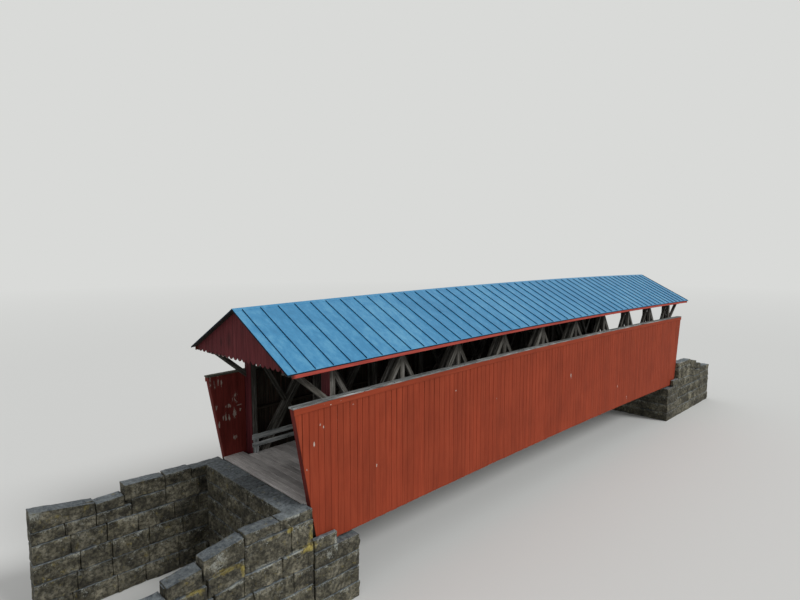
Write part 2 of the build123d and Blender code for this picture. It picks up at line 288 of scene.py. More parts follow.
def join(bm, other):
    """Adds another bmesh to the first one."""
    mesh = bpy.data.meshes.new("joined")
    other.to_mesh(mesh)
    other.free()
    bm.from_mesh(mesh)
    bpy.data.meshes.remove(mesh)


def pack_core(bm, node):
    """The small stones behind the faces of a wall: its CAD node shrunk, so no joint is open."""
    core = copy_node(node)
    core.normal_update()
    for v in core.verts:
        v.co -= Vector([math.copysign(k, n) for k, n in zip(packing_in, v.normal)])
    join(bm, core)


# Wing walls. Four of them hold the banks back, and step down with them; the big top stones are
# laid as they came, and below them the courses are even.
ends = {"near": -1, "far": 1}
sides = {"right": -1, "left": 1}
# The stones that were measured: where each starts and stops, from mid-span, its top and its bed
# over the road, and how far the two drop toward the wall's end.
right_blocks = [(13.99, 15.06, 0.05, -0.27, 0, 0), (15.06, 16.10, 0.04, -0.28, 0, 0),
                (13.99, 14.70, -0.27, -1.00, 0, 0.04), (14.70, 16.12, -0.28, -1.04, 0, 0),
                (13.99, 15.00, -1.00, -1.64, 0.05, 0), (15.00, 16.14, -1.05, -1.60, 0, 0),
                (16.12, 17.22, -0.02, -0.57, 0.20, 0.18), (16.12, 17.12, -0.58, -1.09, 0.18, 0.16),
                (16.14, 16.95, -1.10, -1.62, 0.12, 0), (17.24, 18.12, -0.38, -0.85, 0.13, 0.03),
                (17.13, 18.06, -0.86, -1.26, 0.03, 0), (16.96, 18.10, -1.26, -1.64, 0, 0),
                (18.13, 18.96, -0.74, -1.20, 0.05, 0), (18.96, 19.80, -0.80, -1.20, 0.05, 0),
                (18.10, 19.80, -1.20, -1.64, 0, 0)]
left_blocks = [(13.99, 15.16, -0.05, -0.40, 0, 0), (15.17, 16.04, 0.0, -0.40, 0, 0),
               (16.05, 17.30, -0.02, -0.48, -0.05, 0), (17.31, 18.11, -0.27, -0.62, 0.03, 0),
               (18.12, 19.80, -0.24, -0.62, -0.22, 0), (13.99, 14.90, -0.40, -1.00, 0, 0),
               (14.90, 16.05, -0.40, -1.00, 0, 0), (16.05, 17.10, -0.48, -1.00, 0, 0),
               (17.10, 18.11, -0.62, -1.00, 0, 0), (18.12, 18.95, -0.62, -1.00, 0, 0),
               (18.95, 19.80, -0.62, -1.00, 0, 0)]
measured = {"right": right_blocks, "left": left_blocks}
even_below = {"right": -1.64, "left": -1.00}    # over the road
even_courses = {"right": 3, "left": 4}
even_block = 1.25                       # the longest block in them


def piece(bm, name, material, slot, *nodes):
    """Makes a bmesh a piece of the bridge, which stands for the CAD nodes given."""
    mesh = bpy.data.meshes.new(name)
    bm.to_mesh(mesh)
    bm.free()
    made = bpy.data.objects.new(name, mesh)
    bpy.context.scene.collection.objects.link(made)
    mesh.materials.append(material)
    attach(made, "root")
    if nodes:
        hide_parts(*nodes)
    return made


for end, way in ends.items():
    for side in sides:
        node = "wing_wall_" + end + "_" + side
        low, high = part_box(node)
        wall = bmesh.new()
        for start, stop, top, bed, top_drop, bed_drop in measured[side]:
            lay(wall, (way * start, way * stop), (low.y, high.y), (road + top, road + bed),
                (bed_drop, top_drop))
        top, courses = road + even_below[side], even_courses[side]
        beds = [top + (ground - top) * i / courses for i in range(courses + 1)]
        lay_run(wall, (low.x, high.x), (low.y, high.y), beds, "x", even_block)
        roughen(wall, 1)
        pack_core(wall, node)
        piece(wall, node + "_blocks", stone, "cut_stone", node)

# Abutments. Deep blocks carry the seat for the bolsters, a back wall holds the road fill up to
# the deck, and a narrow foot stone stands outside the foot of each siding corner.
seat_block = 1.4                        # the longest block under the seat
back_block = 1.1                        # and in the back wall
seat_courses = 4
back_courses = 6
back_low = 0.02                         # the back wall stops this far under the road
foot_stone = (0.845, 0.395)             # its length and height
foot_stone_in = 2.735                   # its inner face stands this far from the middle
for end, way in ends.items():
    node = "abutment_" + end
    low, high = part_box(node)
    face_x, back_x = sorted((low.x, high.x), key=abs)
    wall_x = way * abs(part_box("wing_wall_" + end + "_left")[0 if way > 0 else 1].x)
    seat_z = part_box("bolsters")[0].z
    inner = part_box("wing_wall_" + end + "_left")[0].y
    stack = bmesh.new()
    beds = [seat_z + (ground - seat_z) * i / seat_courses for i in range(seat_courses + 1)]
    lay_run(stack, (face_x, wall_x), (low.y, high.y), beds, "y", seat_block)
    beds = [high.z + (ground - high.z) * i / back_courses for i in range(back_courses + 1)]
    beds[0] = road - back_low
    lay_run(stack, (wall_x, back_x), (-inner, inner), beds, "y", back_block)
    for out in (-1, 1):
        lay(stack, (wall_x - way * foot_stone[0], wall_x), (out * foot_stone_in, out * high.y),
            (seat_z, seat_z + foot_stone[1]))
    roughen(stack, 0)
    piece(stack, node + "_blocks", stone, "cut_stone", node)

# Rough-sawn timber. The trusses, floor frame and roof frame are heavy mill-sawn softwood sticks,
# never painted, gone grey-brown, with the grain running along each stick. Their colours are drawn
# darker than the wood is, as painted shade.
tint = random.Random(5)


def mark_members(bm, axis=None):
    """Gives each stick its own grain, measured along and across it, and its own tone."""
    bm.verts.index_update()
    grain = bm.verts.layers.float_vector.new("grain")
    tone = bm.verts.layers.float.new("tone")
    for stick in members(bm):
        corners = np.array([v.co for v in stick])
        centre = corners.mean(0)
        if axis:
            along = Vector(axis)
        else:
            along = Vector(np.linalg.svd(corners - centre, full_matrices=False)[2][0])
        side = along.cross((0, 1, 0) if abs(along.y) < 0.8 else (1, 0, 0)).normalized()
        turn = Matrix((along, side, along.cross(side)))
        shift = Vector([tint.uniform(-40, 40) for _ in range(3)])
        shade = tint.random()
        for v in stick:
            v[grain] = turn @ v.co + shift
            v[tone] = shade


def rough_timber(name, dark, middle, pale, lit_inside=1.0, cap_light_eave_shade=0.0, lit_near_road=1.0, checked=1.0):
    """Weathered rough-sawn wood: grey streaks along the grain, saw marks and drying checks.

    sheltered is the tone of painted light that the wood gets inside the walls, against the
    outermost timbers; splashed is how much paler painted light makes those just over the cap of
    the siding, and how much darker painted shade makes them under the eaves; dust is how much
    paler painted light makes them near the road; and checked is how much the drying checks show.
    The fibres are drawn coarser than they are, so that they show.
    """
    m = blank(name)
    place = add(m, "TexCoord").outputs["Object"]
    grain = add(m, "Attribute", attribute_name="grain").outputs["Vector"]
    tone = add(m, "Attribute", attribute_name="tone").outputs["Fac"]
    wide = add(m, "Mapping", {"Vector": grain, "Scale": per_metre(1111, 62.5, 62.5)})
    streak = add(m, "TexNoise", {"Vector": wide, "Scale": 1, "Detail": 7, "Roughness": 0.65})
    fine = add(m, "Mapping", {"Vector": grain, "Scale": per_metre(200, 6.667, 6.667)})
    fibre = add(m, "TexNoise", {"Vector": fine, "Scale": 1, "Detail": 3})
    weather = add(m, "TexNoise", {"Vector": grain, "Scale": per_metre(909.1),
                                  "Detail": 4, "Roughness": 0.6})
    wood = add(m, "ValToRGB", {"Fac": streak}, stops=[(0.33, dark), (0.70, pale), (0.5, middle)])
    across = add(m, "SeparateXYZ", {0: place})
    out = add(m, "Math", {0: across.outputs["Y"]}, operation="ABSOLUTE")
    truss_in, truss_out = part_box("posts_left")[0].y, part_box("posts_left")[1].y
    # Lighter inside the walls: painted light.
    inside_light = add(m, "MapRange", {0: out, 1: truss_in + 0.05, 2: truss_out, 3: lit_inside, 4: 1.0})
    fibres = add(m, "MapRange", {0: fibre, 1: 0.3, 2: 0.7, 3: 0.78, 4: 1.15})
    value = add(m, "MapRange", {0: tone, 3: 0.76, 4: 1.16})
    clouds = add(m, "MapRange", {0: weather, 1: 0.3, 2: 0.7, 3: 0.75, 4: 1.2})
    # The outermost timbers are painted paler just over the cap (painted light) and darker under
    # the eaves (painted shade).
    outermost = add(m, "MapRange", {0: out, 1: truss_out - 0.18, 2: truss_out - 0.08, 3: 0.0,
                                    4: cap_light_eave_shade})
    height = across.outputs["Z"]
    cap_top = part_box("cap_right")[1].z
    above = add(m, "MapRange", {0: height, 1: cap_top, 2: cap_top + 0.8, 3: 1.0, 4: -0.6})
    cap_light_eave_shade_factor = add(m, "Math", {0: outermost, 1: above, 2: 1.0}, operation="MULTIPLY_ADD")
    # Paler near the road: painted light.
    road_light = add(m, "MapRange", {0: height, 1: road + 0.3, 2: road + 2.0, 3: lit_near_road, 4: 1.0})
    for factor in (clouds, fibres, inside_light, cap_light_eave_shade_factor, road_light):
        value = add(m, "Math", {0: value, 1: factor}, operation="MULTIPLY")
    shaded = add(m, "HueSaturation", {"Color": wood, "Value": value})
    split = add(m, "Mapping", {"Vector": grain, "Scale": per_metre(2000, 111.1, 111.1)})
    crack = add(m, "TexNoise", {"Vector": split, "Scale": 1, "Detail": 2, "Roughness": 0.4})
    gap = add(m, "Math", {0: crack, 1: 0.5}, operation="SUBTRACT")
    near = add(m, "Math", {0: gap}, operation="ABSOLUTE")
    open_crack = add(m, "MapRange", {0: near, 1: 0.002, 2: 0.010, 3: checked, 4: 0.0})
    cracked = add(m, "Mix", {0: open_crack, 6: shaded, 7: colour("#1f1a17")}, data_type="RGBA")
    sunk = add(m, "Math", {0: open_crack, 1: -2.0, 2: fibre}, operation="MULTIPLY_ADD")
    bump = add(m, "Bump", {"Height": sunk, "Distance": 0.003, "Strength": 0.7})
    skin = add(m, "BsdfPrincipled", {"Base Color": cracked, "Roughness": 0.85, "Normal": bump,
                                     "Specular IOR Level": 0.25})
    add(m, "OutputMaterial", {"Surface": skin})
    return m


# Drawn darker than the wood is, as painted shade; its factors add painted light inside the walls,
# over the caps and near the road, and painted shade under the eaves.
truss_wood = rough_timber("rough_sawn_pine", "#24221d", "#403e39", "#706e6a", lit_inside=1.3,
                          cap_light_eave_shade=0.5, lit_near_road=1.9)
# Browned wood, drawn darker still as painted shade inside the bridge.
frame_wood = rough_timber("browned_shaded_sawn_pine", "#211d19", "#383129", "#544c42")


def dress(node, material, slot, soften=0.006, axis=None):
    """A CAD node's sticks again, as whole flat faces with worn arrises and their own grain."""
    bm = copy_node(node)
    bmesh.ops.dissolve_limit(bm, angle_limit=math.radians(0.02), verts=bm.verts, edges=bm.edges)
    wear(bm, soften)
    mark_members(bm, axis)
    return piece(bm, node + "_timber", material, slot, node)


# Bolsters and bottom chords. Heavy pine sticks: each chord is three of them side by side on the
# bolsters, with a pair of posts let in between them at every panel point.
dress("bolsters", truss_wood, "weathered_timber", soften=0.008)
for side in sides:
    dress("bottom_chord_" + side, truss_wood, "weathered_timber")

# Posts, braces and counters. All are sawn pine; paired braces stand on shoulders cut in the
# posts, the single counter passes between them, and the top chord ties the heads.
for side in sides:
    for node in ("posts_", "braces_", "counters_", "top_chord_"):
        dress(node + side, truss_wood, "weathered_timber")

# Chord bolts. Two forged bolts draw the three sticks and the posts together at every panel
# point, with a round washer and a square nut on both faces, rusted brown.
washer = 0.045                          # its radius
washer_thick = 0.008
nut = 0.022                             # half its width
nut_thick = 0.022
bolt_off = Vector((-0.05, 0, 0.07))     # from the middle of the joint, and the other way
panels = 9
post_wide = 0.200
chord_deep = 0.300
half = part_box("roof_metal_left")[1].x   # from mid-span to the roof's end


def rise(x):
    """Height of the camber at x over its height at the roof ends."""
    return camber * (1 - (x / half) ** 2)


def level(node):
    """Height that the top of a cambered CAD node would have at the roof ends."""
    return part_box(node)[1].z - camber


def rusted_iron():
    """Forged iron, rusted through to a dry dark brown with orange bloom."""
    m = blank("rusted_forged_iron")
    place = add(m, "TexCoord").outputs["Object"]
    bloom = add(m, "TexNoise", {"Vector": place, "Scale": per_metre(25), "Detail": 5})
    rust = add(m, "ValToRGB", {"Fac": bloom}, stops=[(0.35, "#2c1f19"), (0.7, "#6e3d22")])
    bump = add(m, "Bump", {"Height": bloom, "Distance": 0.001, "Strength": 0.6})
    skin = add(m, "BsdfPrincipled", {"Base Color": rust, "Roughness": 0.8, "Normal": bump})
    add(m, "OutputMaterial", {"Surface": skin})
    return m


iron = rusted_iron()
turn = Matrix.Rotation(math.radians(90), 4, "X")
bolts = bmesh.new()
for side in sides:
    for chord in ("bottom_chord_", "top_chord_"):
        low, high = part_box(chord + side)
        middle = level(chord + side) - chord_deep / 2
        panel = (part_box("posts_" + side)[1].x - post_wide / 2) * 2 / panels
        for i in range(panels + 1):
            x = (i - panels / 2) * panel
            for y, face in ((low.y, -1), (high.y, 1)):
                for off in (bolt_off, -bolt_off):
                    at = Vector((x, y + face * washer_thick / 2, middle + rise(x))) + off
                    bmesh.ops.create_cone(bolts, segments=12, radius1=washer, radius2=washer,
                                          depth=washer_thick, cap_ends=True,
                                          matrix=Matrix.Translation(at) @ turn)
                    # A cone with four sides is the square nut.
                    at.y += face * ((washer_thick + nut_thick) / 2 - 0.001)
                    bmesh.ops.create_cone(bolts, segments=4, radius1=nut * 1.4, radius2=nut * 1.3,
                                          depth=nut_thick, cap_ends=True,
                                          matrix=Matrix.Translation(at) @ turn)
piece(bolts, "chord_bolts", iron, "weathered_timber")

# Floor frame. Beams of sawn pine lie across the bottom chords with stringers along them, and
# damp and dust have browned both; they are drawn darker still as painted shade.
dress("floor_beams", frame_wood, "weathered_timber")
dress("stringers", frame_wood, "weathered_timber")

# Deck. Planks lie across the bridge, spiked down to the stringers, polished and greyed by
# wheels, and drawn paler still as painted light; the last plank at each end is paler again.
plank_pitch = 0.25
plank_thick = 0.075
plank_gap = 0.007
plank_arris = 0.005
plank_uneven = 0.004
end_plank_tone = 1.25
# Drawn paler than the wood, as painted light.
deck_wood = rough_timber("trodden_deck_plank", "#a49f9d", "#b8b4b1", "#c8c5c3", checked=0.25)
low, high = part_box("deck")
deck_top = level("deck")
between_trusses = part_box("posts_left")[0].y - 0.005
widens_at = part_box("posts_left")[1].x + 0.03
count = round((high.x - low.x) / plank_pitch)
pitch = (high.x - low.x) / count
planks = bmesh.new()
for i in range(count):
    x = low.x + (i + 0.5) * pitch
    reach = high.y if abs(x) > widens_at + pitch / 2 else between_trusses
    top = deck_top + rise(x) - tint.uniform(0, plank_uneven)
    box(planks, (x - (pitch - plank_gap) / 2, -reach, top - plank_thick),
        (x + (pitch - plank_gap) / 2, reach, top))
wear(planks, plank_arris)
mark_members(planks, (0, 1, 0))
for v in planks.verts:
    if abs(v.co.x) > high.x - pitch:
        v[planks.verts.layers.float["tone"]] = end_plank_tone
piece(planks, "deck_planks", deck_wood, "deck_planks", "deck")

# Wheel rails. Two planks are spiked to short legs along each truss to keep wheels off it, and
# the bare wood has gone grey; it is drawn paler and colder as painted sky light.
rail_wood = rough_timber("grey_rail_plank", "#6b7071", "#a9aeae", "#d4d7d5")
for side in sides:
    dress("rail_" + side, rail_wood, "weathered_timber", soften=0.008)

# Roof frame. Tie beams of sawn pine lie over the posts, rafters stand in pairs on the outer
# sticks of the top chords, and struts from the end posts hold up the roof's ends.
dress("tie_beams", frame_wood, "weathered_timber")
dress("rafters", frame_wood, "weathered_timber", soften=0.004)
dress("struts", truss_wood, "weathered_timber")

# Roof boarding. Sawn boards lie along the roof on the rafters, with open joints, and show from
# below and past the gables. They are drawn nearly black, partly darkened by soot and dust and
# partly as painted shade.
slope = 0.5107
tilt = math.atan(slope)
board_wide = 0.21
board_long = 4.93
roof_lengths = 6                        # boards end to end in a row
board_thick = 0.025
board_joint = 0.006                     # open joint between two rows
board_butt = 0.002                      # each end stays this far from the middle of a butt joint
board_arris = 0.003
boards_short = 0.01                     # the last row stops this far inside the eave
# Nearly black: dirt, and painted shade under the roof.
dirt_and_shade_wood = rough_timber("dirt_and_shade_roof_board", "#15120f", "#26211c", "#3b342c")


def divide_long(bm, cuts):
    """Divides the edges that run along the bridge, so that they can follow the camber."""
    long = [e for e in bm.edges if abs(e.verts[0].co.x - e.verts[1].co.x) > 1]
    bmesh.ops.subdivide_edges(bm, edges=long, cuts=cuts, use_grid_fill=True)


def follow_camber(bm, crown=0.0, fall=0.0):
    """Lifts every corner by the camber, and onto a roof that falls on both sides of its crown."""
    for v in bm.verts:
        v.co.z += crown - fall * abs(v.co.y) + rise(v.co.x)


for side, out in sides.items():
    low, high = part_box("roof_boards_" + side)
    reach = max(abs(low.y), abs(high.y))
    crown = level("roof_boards_" + side)
    rows = round(reach / math.cos(tilt) / board_wide)
    run = (reach - boards_short) / rows
    thick = board_thick / math.cos(tilt)
    boards = bmesh.new()
    for row in range(rows):
        butts = [-half + (i + 0.5 * (row % 2)) * board_long for i in range(1, roof_lengths)]
        cuts = [-half] + butts + [half]
        for a, b in zip(cuts, cuts[1:]):
            box(boards, (a + board_butt, out * (row * run + board_joint), -thick),
                (b - board_butt, out * (row + 1) * run, 0))
    divide_long(boards, cuts=4)
    follow_camber(boards, crown, slope)
    wear(boards, board_arris)
    mark_members(boards, (1, 0, 0))
    piece(boards, "roof_boards_" + side + "_sawn", dirt_and_shade_wood, "weathered_timber",
          "roof_boards_" + side)

# Roof sheet. Blue-grey enamelled steel pans, about 24 inches wide, run from ridge to eave and are
# locked together in standing seams. Their blue is partly the enamel and partly painted reflection
# of the sky. The seams are drawn dark, partly for grime and partly as painted shade.
seam_count = 48
seam_first = -14.515
seam_pitch = 0.6215
seam_high = 0.036
seam_wide = 0.016
seam_head = 0.10                        # the seams start this far out, under the ridge cap
seam_arris = 0.004
fold = 0.004                            # drawn thicker than the sheet is, so that it shows
hem = 0.055                             # the verges are folded down this far
hem_proud = 0.003                       # and stand this far out past the sheet's end
ridge_gap = 0.006                       # the two slopes' hems stop this far from the middle
drip = 0.036                            # the eaves are folded down this far


def enamelled_steel(name, shade, faded, grime, rough=0.36, shine=0.5):
    """Baked enamel on thin steel sheet: satin, chalked in clouds, and matt where it is grimy."""
    m = blank(name)
    place = add(m, "TexCoord").outputs["Object"]
    cloud = add(m, "TexNoise", {"Vector": place, "Scale": per_metre(2222),
                                "Detail": 4, "Roughness": 0.5})
    down = add(m, "Mapping", {"Vector": place, "Scale": per_metre(166.7, 400, 400)})
    mottle = add(m, "TexNoise", {"Vector": down, "Scale": 1, "Detail": 9, "Roughness": 0.75})
    chalk = add(m, "Math", {0: cloud, 1: 0.6, 2: mottle}, operation="MULTIPLY_ADD")
    paint = add(m, "ValToRGB", {"Fac": add(m, "MapRange", {0: chalk, 1: 0.45, 2: 1.15})},
                stops=[(0.1, grime), (0.9, faded), (0.5, shade)])
    pan = add(m, "Mapping", {"Vector": place, "Scale": per_metre(833.3, 454.5, 454.5)})
    dent = add(m, "TexNoise", {"Vector": pan, "Scale": 1, "Detail": 2})
    bump = add(m, "Bump", {"Height": dent, "Distance": 0.01, "Strength": 0.3})
    skin = add(m, "BsdfPrincipled", {"Base Color": paint, "Roughness": rough, "Normal": bump,
                                     "Specular IOR Level": shine})
    add(m, "OutputMaterial", {"Surface": skin})
    return m


# Bluer than the enamel alone, as painted reflection of the sky.
roof_paint = enamelled_steel("blue_enamel_and_sky_steel", "#3a87b4", "#5fa2c5", "#2a739d")
# The seams are dark partly for grime and partly as painted shade.
seam_paint = enamelled_steel("grimy_and_shaded_seam_steel", "#0f3c5a", "#184b6b", "#0b3048",
                             rough=0.7, shine=0.2)
# The folded verges and eaves are drawn near black: painted shade under the roof's edges.
shade_hem_paint = enamelled_steel("shaded_folded_edge_steel", "#0f1926", "#172636", "#0a111a",
                            rough=0.8, shine=0.15)
for node in ("roof_metal_left", "roof_metal_right", "ridge_cap"):
    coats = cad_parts[node].data.materials
    coats.clear()
    coats.append(roof_paint)
for side, out in sides.items():
    low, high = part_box("roof_metal_" + side)
    eave_y = max(abs(low.y), abs(high.y))
    crown = level("roof_metal_" + side)
    seams = bmesh.new()
    for i in range(seam_count):
        x = seam_first + i * seam_pitch
        box(seams, (x - seam_wide / 2, out * seam_head, -fold),
            (x + seam_wide / 2, out * (eave_y - fold), seam_high))
    wear(seams, seam_arris)
    hems = bmesh.new()
    for way in (-1, 1):
        box(hems, (way * half, out * ridge_gap, -hem),
            (way * (half + hem_proud), out * eave_y, -0.001))
    box(hems, (-half, out * (eave_y - fold), -drip), (half, out * eave_y, -fold))
    divide_long(hems, cuts=23)
    for bm, name, paint in ((seams, "roof_seams_", seam_paint), (hems, "roof_hems_", shade_hem_paint)):
        follow_camber(bm, crown, slope)
        piece(bm, name + side, paint, "roof_steel")

# Barn paint. Iron-oxide red brushed on rough boards has gone chalky and streaked by rain, thin
# over the grain, flaked to grey wood in places and worn through or stained in others.


def barn_paint(name, fresh, faded, soot, under, lost, worn_places=(), stain_and_shade_places=(),
               stain_and_shade_tone=0.6):
    """Red barn paint, dull and chalky, with the grain of the boards showing through it.

    Under is the colour that shows where the paint is worn through, and lost is how much of it has
    flaked off to grey wood. stain is the tone that the stain_and_shade_places keep: real stains on
    the gables, painted shade at the ends of the eave boards.
    """
    m = blank(name)
    place = add(m, "TexCoord").outputs["Object"]
    grain = add(m, "Attribute", attribute_name="grain").outputs["Vector"]
    tone = add(m, "Attribute", attribute_name="tone").outputs["Fac"]
    wide = add(m, "Mapping", {"Vector": grain, "Scale": per_metre(1428.6, 71.43, 71.43)})
    streak = add(m, "TexNoise", {"Vector": wide, "Scale": 1, "Detail": 7, "Roughness": 0.6})
    fine = add(m, "Mapping", {"Vector": grain, "Scale": per_metre(250, 8.333, 8.333)})
    fibre = add(m, "TexNoise", {"Vector": fine, "Scale": 1, "Detail": 3})
    cloud = add(m, "TexNoise", {"Vector": place, "Scale": per_metre(1428.6),
                                "Detail": 5, "Roughness": 0.6})
    red = add(m, "ValToRGB", {"Fac": streak}, stops=[(0.30, soot), (0.72, faded), (0.5, fresh)])
    value = add(m, "MapRange", {0: tone, 3: 0.93, 4: 1.07})
    clouds = add(m, "MapRange", {0: cloud, 1: 0.3, 2: 0.7, 3: 0.90, 4: 1.10})
    # Darker at the given places: stains on the gables, painted shade at the ends of the eave
    # boards.
    damp = add(m, "MapRange", {0: closeness(m, place, stain_and_shade_places), 3: 1.0, 4: stain_and_shade_tone})
    for factor in (clouds, damp):
        value = add(m, "Math", {0: value, 1: factor}, operation="MULTIPLY")
    shaded = add(m, "HueSaturation", {"Color": red, "Value": value})
    peel = add(m, "Mapping", {"Vector": grain, "Scale": per_metre(454.5, 50, 50)})
    flake = add(m, "TexNoise", {"Vector": peel, "Scale": 1, "Detail": 6, "Roughness": 0.7})
    bare = add(m, "MapRange", {0: flake, 1: 0.78 - lost, 2: 0.81 - lost, 3: 0.0, 4: 0.8})
    flaked = add(m, "Mix", {0: bare, 6: shaded, 7: colour("#7d7368")}, data_type="RGBA")
    chip = add(m, "Mapping", {"Vector": grain, "Scale": per_metre(166.7, 76.92, 76.92)})
    rub = add(m, "TexNoise", {"Vector": chip, "Scale": 1, "Detail": 7, "Roughness": 0.72})
    likely = add(m, "Math", {0: closeness(m, place, worn_places), 1: 0.27, 2: rub},
                 operation="MULTIPLY_ADD")
    through = add(m, "MapRange", {0: likely, 1: 0.72, 2: 0.79, 3: 0.0, 4: 0.9})
    worn = add(m, "Mix", {0: through, 6: flaked, 7: colour(under)}, data_type="RGBA")
    bump = add(m, "Bump", {"Height": fibre, "Distance": 0.002, "Strength": 0.5})
    skin = add(m, "BsdfPrincipled", {"Base Color": worn, "Roughness": 0.8, "Normal": bump,
                                     "Specular IOR Level": 0.18})
    add(m, "OutputMaterial", {"Surface": skin})
    return m


# Eave boards. A red pine board is nailed over the rafter tails on each side, in lengths that
# butt together, and its ends are drawn dark as painted shade.
fascia_deep = 0.131
fascia_uneven = 0.004
board_lengths = 8
fine_joint = 0.002
fascia_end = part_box("fascia_right")[1]
# The ends of the eave boards, darkened as painted shade.
eave_end_shade = [((way * fascia_end.x, out * abs(fascia_end.y), level("fascia_right") - 0.06),
              (0.14, 0.2, 0.3)) for way in (-1, 1) for out in (-1, 1)]
eave_red = barn_paint("barn_red_eave_board", "#a0443a", "#ae5549", "#8e372e", "#a79a90", 0.05,
                      stain_and_shade_places=eave_end_shade, stain_and_shade_tone=0.25)


def lengths(low, high, count):
    """Start and stop along x of boards laid end to end, with a fine joint between them."""
    long = (high.x - low.x) / count
    starts = [low.x + i * long for i in range(count)]
    return [(start + fine_joint / 2, start + long - fine_joint / 2) for start in starts]


def nail_along(node, deep, paint, uneven=0):
    """Boards laid end to end over the length of a CAD node, this deep from its top edge."""
    low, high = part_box(node)
    top = level(node)
    boards = bmesh.new()
    for a, b in lengths(low, high, board_lengths):
        drop = tint.uniform(0, uneven) if uneven else 0
        box(boards, (a, low.y, top - deep - drop), (b, high.y, top))
    divide_long(boards, cuts=5)
    follow_camber(boards)
    wear(boards, board_arris)
    mark_members(boards, (1, 0, 0))
    piece(boards, node + "_boards", paint, "red_boards", node)


for side in sides:
    nail_along("fascia_" + side, fascia_deep, eave_red, fascia_uneven)

# Gables. Upright pine boards with rounded feet are nailed up a little inside each roof end, in a
# duller, older red that is drawn darker as painted shade; the line of their feet runs out of
# level, and their tips are worn pale.
gable_boards = 21
gable_joint = 0.004
feet_uneven = 0.008
lobe = 0.10                             # how far the rounded foot hangs below the boards' joints
feet_up = 0.019                         # the feet stand this far up at the middle
feet_fall = 0.015                       # and fall this much in each metre toward the left
gable_x = half - 0.200
gable_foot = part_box("gable_near")[0].z
# The tips are worn a little more on the right hand as one enters at either end.
gable_worn = [((way * gable_x, way * hand * 1.3, gable_foot + 0.02), (0.2, 1.4, tall))
              for way in (-1, 1) for hand, tall in ((1, 0.06), (-1, 0.045))]
gable_stains = [((-gable_x, 0.64, road + 4.48), (0.2, 0.20, 0.40)),
                ((-gable_x, 1.16, road + 4.35), (0.2, 0.10, 0.18))]
# Darker than the siding's red, partly older paint and partly painted shade.
gable_red = barn_paint("barn_red_weathered_and_shaded", "#5b2226", "#6a2e31", "#491a1e", "#8a7d78", 0.04,
                       gable_worn, gable_stains)
turn = Matrix.Rotation(math.radians(90), 4, "Y")


def of_kind(kind, geom):
    """The corners, edges or faces among what a bmesh operator gives back."""
    return [part for part in geom if isinstance(part, kind)]


for end in ends:
    node = "gable_" + end
    low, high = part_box(node)
    pitch = (high.y - low.y) / gable_boards
    radius = (pitch - gable_joint) / 2
    foot = low.z + lobe
    panel = bmesh.new()
    for i in range(gable_boards):
        y = low.y + (i + 0.5) * pitch
        drop = tint.uniform(0, feet_uneven)
        eave_top = high.z - slope * (abs(y) + radius)
        joint_z = min(foot + drop + feet_up - feet_fall * y, eave_top - 0.01)
        centre = Vector((low.x, y, joint_z))
        # A disc, drawn down to the depth of the lobe, is the foot. Its upper half is cut away and
        # the cut edge is drawn up to the line of the roof.
        disc = bmesh.ops.create_circle(panel, segments=20, radius=radius, cap_ends=True,
                                       matrix=Matrix.Translation(centre) @ turn)["verts"]
        for v in disc:
            depth = 1 - ((v.co.y - y) / radius) ** 2
            v.co.z = centre.z + math.copysign(lobe * depth, v.co.z - centre.z)
        geom = disc + list({e for v in disc for e in v.link_edges})
        geom += list({f for v in disc for f in v.link_faces})
        cut = bmesh.ops.bisect_plane(panel, geom=geom, plane_co=centre, plane_no=(0, 0, 1),
                                     clear_outer=True)
        rim = of_kind(bmesh.types.BMEdge, cut["geom_cut"])
        grown = bmesh.ops.extrude_edge_only(panel, edges=rim)["geom"]
        for v in of_kind(bmesh.types.BMVert, grown):
            v.co.z = high.z - slope * abs(v.co.y)
    # All boards get their thickness at once.
    faces = bmesh.ops.extrude_face_region(panel, geom=panel.faces[:])["geom"]
    moved = of_kind(bmesh.types.BMVert, faces)
    bmesh.ops.translate(panel, verts=moved, vec=(high.x - low.x, 0, 0))
    bmesh.ops.dissolve_limit(panel, angle_limit=0.01, verts=panel.verts, edges=panel.edges)
    bmesh.ops.recalc_face_normals(panel, faces=panel.faces)
    wear(panel, board_arris)
    mark_members(panel, (0, 0, 1))
    piece(panel, node + "_boards", gable_red, "red_boards", node)

# Siding. Upright pine boards of mixed widths are nailed to the girts and have shrunk apart in
# drying; they are painted outside only, and cut to a slant at the shelter ends.
siding_tall = 2.927 + 1.280             # above the road and below it
slant = 0.740                           # the foot of the slanted end is this much further in
siding_top = level("siding_right")
siding_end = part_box("siding_right")[1].x
siding_narrow, siding_wide = 0.205, 0.285
siding_shrunk = {"right": 0.013, "left": 0.003}
ragged_feet = 0.014
swollen = 0.2                           # at the damp feet the joints have closed to this share
set_back = 0.004                        # no board's face stands back more than this
# Where the siding's paint is worn through: x and the height over the road of each place, then
# how far it reaches along and up.
wall_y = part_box("siding_right")[0].y
siding_scars = [(-13.57, 2.30, 0.07, 0.11), (-13.46, 2.20, 0.04, 0.07), (-13.80, 1.75, 0.05, 0.17),
                (-11.43, 0.45, 0.05, 0.13), (-7.60, 2.10, 0.05, 0.07), (-12.35, 2.62, 0.07, 0.08),
                (-14.05, 1.10, 0.04, 0.07), (0.69, 1.25, 0.07, 0.50), (-5.10, 1.30, 0.05, 0.07),
                (6.81, -0.94, 0.07, 0.20), (5.65, -0.12, 0.06, 0.14), (-13.45, 2.86, 0.05, 0.03),
                (-13.22, 2.80, 0.06, 0.03), (-12.86, 2.84, 0.09, 0.02)]
siding_worn = [((x, wall_y, road + z + rise(x)), (wide, 0.2, tall))
               for x, z, wide, tall in siding_scars]
siding_red = barn_paint("barn_red_siding", "#893821", "#924028", "#7f321e", "#b9b0a6", 0.02,
                        siding_worn)
